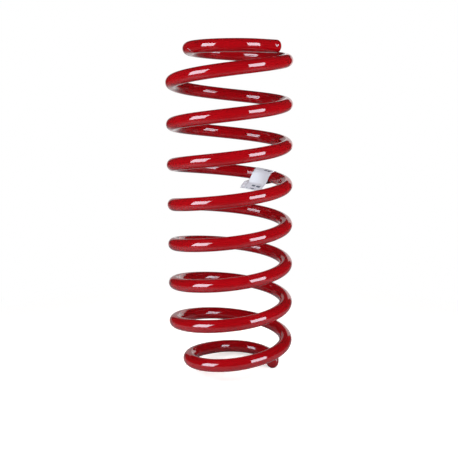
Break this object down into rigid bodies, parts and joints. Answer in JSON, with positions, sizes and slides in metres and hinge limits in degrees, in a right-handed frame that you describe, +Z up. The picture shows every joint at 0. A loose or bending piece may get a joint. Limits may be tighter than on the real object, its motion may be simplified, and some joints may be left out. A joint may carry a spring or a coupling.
{
  "type": "coil spring",
  "caption": "Helical compression spring for a vehicle suspension, wound from round bar, pigtail end coils, glossy red coat, paper label wrapped round a middle turn.",
  "frame": {"origin": "on the axis of the active coils, level with the lowest point of the wire", "axes": "+Z up along the coil axis towards the upper end coil; the lower wire end is at the front right, and -Y is the front"},
  "size_m": [0.1234, 0.1247, 0.3244],
  "materials": {
    "red_coat": "gloss",
    "label": "satin"
  },
  "bodies": {
    "lower_end": {"lower_end_tip": "red_coat", "lower_end_middle": "red_coat", "lower_end_rise": "red_coat"},
    "active_quarter_01": {"active_quarter_01": "red_coat"},
    "active_quarter_02": {"active_quarter_02": "red_coat"},
    "active_quarter_03": {"active_quarter_03": "red_coat"},
    "active_quarter_04": {"active_quarter_04": "red_coat"},
    "active_quarter_05": {"active_quarter_05": "red_coat"},
    "active_quarter_06": {"active_quarter_06": "red_coat"},
    "active_quarter_07": {"active_quarter_07": "red_coat"},
    "active_quarter_08": {"active_quarter_08": "red_coat"},
    "active_quarter_09": {"active_quarter_09": "red_coat"},
    "active_quarter_10": {"active_quarter_10": "red_coat"},
    "active_quarter_11": {"active_quarter_11": "red_coat"},
    "active_quarter_12": {"active_quarter_12": "red_coat"},
    "active_quarter_13": {"active_quarter_13": "red_coat"},
    "active_quarter_14": {"active_quarter_14": "red_coat"},
    "active_quarter_15": {"active_quarter_15": "red_coat"},
    "active_quarter_16": {"active_quarter_16": "red_coat"},
    "active_quarter_17": {"active_quarter_17": "red_coat"},
    "active_quarter_18": {"active_quarter_18": "red_coat", "label": "label"},
    "active_quarter_19": {"active_quarter_19": "red_coat"},
    "active_quarter_20": {"active_quarter_20": "red_coat"},
    "active_quarter_21": {"active_quarter_21": "red_coat"},
    "active_quarter_22": {"active_quarter_22": "red_coat"},
    "active_quarter_23": {"active_quarter_23": "red_coat"},
    "active_quarter_24": {"active_quarter_24": "red_coat"},
    "active_quarter_25": {"active_quarter_25": "red_coat"},
    "active_quarter_26": {"active_quarter_26": "red_coat"},
    "active_quarter_27": {"active_quarter_27": "red_coat"},
    "active_quarter_28": {"active_quarter_28": "red_coat"},
    "active_quarter_29": {"active_quarter_29": "red_coat"},
    "upper_end": {"upper_end_lead": "red_coat", "upper_end_fall": "red_coat", "upper_end_middle": "red_coat", "upper_end_tip": "red_coat"}
  },
  "joints": [
    {"name": "compression", "type": "slide", "parent": "lower_end", "child": "upper_end", "axis": [0, 0, -1], "range_m": [0, 0.17], "stiffness_N_per_m": 24300},
    {"name": "active_quarter_01_slide", "type": "slide", "parent": "lower_end", "child": "active_quarter_01", "axis": [0, 0, -1], "range_m": [0, 0.0031]},
    {"name": "active_quarter_02_slide", "type": "slide", "parent": "lower_end", "child": "active_quarter_02", "axis": [0, 0, -1], "range_m": [0, 0.009]},
    {"name": "active_quarter_03_slide", "type": "slide", "parent": "lower_end", "child": "active_quarter_03", "axis": [0, 0, -1], "range_m": [0, 0.0149]},
    {"name": "active_quarter_04_slide", "type": "slide", "parent": "lower_end", "child": "active_quarter_04", "axis": [0, 0, -1], "range_m": [0, 0.0207]},
    {"name": "active_quarter_05_slide", "type": "slide", "parent": "lower_end", "child": "active_quarter_05", "axis": [0, 0, -1], "range_m": [0, 0.0266]},
    {"name": "active_quarter_06_slide", "type": "slide", "parent": "lower_end", "child": "active_quarter_06", "axis": [0, 0, -1], "range_m": [0, 0.0324]},
    {"name": "active_quarter_07_slide", "type": "slide", "parent": "lower_end", "child": "active_quarter_07", "axis": [0, 0, -1], "range_m": [0, 0.0383]},
    {"name": "active_quarter_08_slide", "type": "slide", "parent": "lower_end", "child": "active_quarter_08", "axis": [0, 0, -1], "range_m": [0, 0.0442]},
    {"name": "active_quarter_09_slide", "type": "slide", "parent": "lower_end", "child": "active_quarter_09", "axis": [0, 0, -1], "range_m": [0, 0.05]},
    {"name": "active_quarter_10_slide", "type": "slide", "parent": "lower_end", "child": "active_quarter_10", "axis": [0, 0, -1], "range_m": [0, 0.0559]},
    {"name": "active_quarter_11_slide", "type": "slide", "parent": "lower_end", "child": "active_quarter_11", "axis": [0, 0, -1], "range_m": [0, 0.0618]},
    {"name": "active_quarter_12_slide", "type": "slide", "parent": "lower_end", "child": "active_quarter_12", "axis": [0, 0, -1], "range_m": [0, 0.0676]},
    {"name": "active_quarter_13_slide", "type": "slide", "parent": "lower_end", "child": "active_quarter_13", "axis": [0, 0, -1], "range_m": [0, 0.0735]},
    {"name": "active_quarter_14_slide", "type": "slide", "parent": "lower_end", "child": "active_quarter_14", "axis": [0, 0, -1], "range_m": [0, 0.0793]},
    {"name": "active_quarter_15_slide", "type": "slide", "parent": "lower_end", "child": "active_quarter_15", "axis": [0, 0, -1], "range_m": [0, 0.0852]},
    {"name": "active_quarter_16_slide", "type": "slide", "parent": "lower_end", "child": "active_quarter_16", "axis": [0, 0, -1], "range_m": [0, 0.0911]},
    {"name": "active_quarter_17_slide", "type": "slide", "parent": "lower_end", "child": "active_quarter_17", "axis": [0, 0, -1], "range_m": [0, 0.0969]},
    {"name": "active_quarter_18_slide", "type": "slide", "parent": "lower_end", "child": "active_quarter_18", "axis": [0, 0, -1], "range_m": [0, 0.1028]},
    {"name": "active_quarter_19_slide", "type": "slide", "parent": "lower_end", "child": "active_quarter_19", "axis": [0, 0, -1], "range_m": [0, 0.1086]},
    {"name": "active_quarter_20_slide", "type": "slide", "parent": "lower_end", "child": "active_quarter_20", "axis": [0, 0, -1], "range_m": [0, 0.1145]},
    {"name": "active_quarter_21_slide", "type": "slide", "parent": "lower_end", "child": "active_quarter_21", "axis": [0, 0, -1], "range_m": [0, 0.1204]},
    {"name": "active_quarter_22_slide", "type": "slide", "parent": "lower_end", "child": "active_quarter_22", "axis": [0, 0, -1], "range_m": [0, 0.1262]},
    {"name": "active_quarter_23_slide", "type": "slide", "parent": "lower_end", "child": "active_quarter_23", "axis": [0, 0, -1], "range_m": [0, 0.1321]},
    {"name": "active_quarter_24_slide", "type": "slide", "parent": "lower_end", "child": "active_quarter_24", "axis": [0, 0, -1], "range_m": [0, 0.138]},
    {"name": "active_quarter_25_slide", "type": "slide", "parent": "lower_end", "child": "active_quarter_25", "axis": [0, 0, -1], "range_m": [0, 0.1438]},
    {"name": "active_quarter_26_slide", "type": "slide", "parent": "lower_end", "child": "active_quarter_26", "axis": [0, 0, -1], "range_m": [0, 0.1497]},
    {"name": "active_quarter_27_slide", "type": "slide", "parent": "lower_end", "child": "active_quarter_27", "axis": [0, 0, -1], "range_m": [0, 0.1555]},
    {"name": "active_quarter_28_slide", "type": "slide", "parent": "lower_end", "child": "active_quarter_28", "axis": [0, 0, -1], "range_m": [0, 0.1614]},
    {"name": "active_quarter_29_slide", "type": "slide", "parent": "lower_end", "child": "active_quarter_29", "axis": [0, 0, -1], "range_m": [0, 0.1673]}
  ],
  "couplings": [
    {"joint": "active_quarter_01_slide", "follows": "compression", "ratio": 0.017241},
    {"joint": "active_quarter_02_slide", "follows": "compression", "ratio": 0.051724},
    {"joint": "active_quarter_03_slide", "follows": "compression", "ratio": 0.086207},
    {"joint": "active_quarter_04_slide", "follows": "compression", "ratio": 0.12069},
    {"joint": "active_quarter_05_slide", "follows": "compression", "ratio": 0.15517},
    {"joint": "active_quarter_06_slide", "follows": "compression", "ratio": 0.18965},
    {"joint": "active_quarter_07_slide", "follows": "compression", "ratio": 0.22414},
    {"joint": "active_quarter_08_slide", "follows": "compression", "ratio": 0.25862},
    {"joint": "active_quarter_09_slide", "follows": "compression", "ratio": 0.2931},
    {"joint": "active_quarter_10_slide", "follows": "compression", "ratio": 0.32759},
    {"joint": "active_quarter_11_slide", "follows": "compression", "ratio": 0.36207},
    {"joint": "active_quarter_12_slide", "follows": "compression", "ratio": 0.39655},
    {"joint": "active_quarter_13_slide", "follows": "compression", "ratio": 0.43103},
    {"joint": "active_quarter_14_slide", "follows": "compression", "ratio": 0.46552},
    {"joint": "active_quarter_15_slide", "follows": "compression", "ratio": 0.5},
    {"joint": "active_quarter_16_slide", "follows": "compression", "ratio": 0.53448},
    {"joint": "active_quarter_17_slide", "follows": "compression", "ratio": 0.56897},
    {"joint": "active_quarter_18_slide", "follows": "compression", "ratio": 0.60345},
    {"joint": "active_quarter_19_slide", "follows": "compression", "ratio": 0.63793},
    {"joint": "active_quarter_20_slide", "follows": "compression", "ratio": 0.67241},
    {"joint": "active_quarter_21_slide", "follows": "compression", "ratio": 0.7069},
    {"joint": "active_quarter_22_slide", "follows": "compression", "ratio": 0.74138},
    {"joint": "active_quarter_23_slide", "follows": "compression", "ratio": 0.77586},
    {"joint": "active_quarter_24_slide", "follows": "compression", "ratio": 0.81034},
    {"joint": "active_quarter_25_slide", "follows": "compression", "ratio": 0.84483},
    {"joint": "active_quarter_26_slide", "follows": "compression", "ratio": 0.87931},
    {"joint": "active_quarter_27_slide", "follows": "compression", "ratio": 0.91379},
    {"joint": "active_quarter_28_slide", "follows": "compression", "ratio": 0.94828},
    {"joint": "active_quarter_29_slide", "follows": "compression", "ratio": 0.98276}
  ]
}
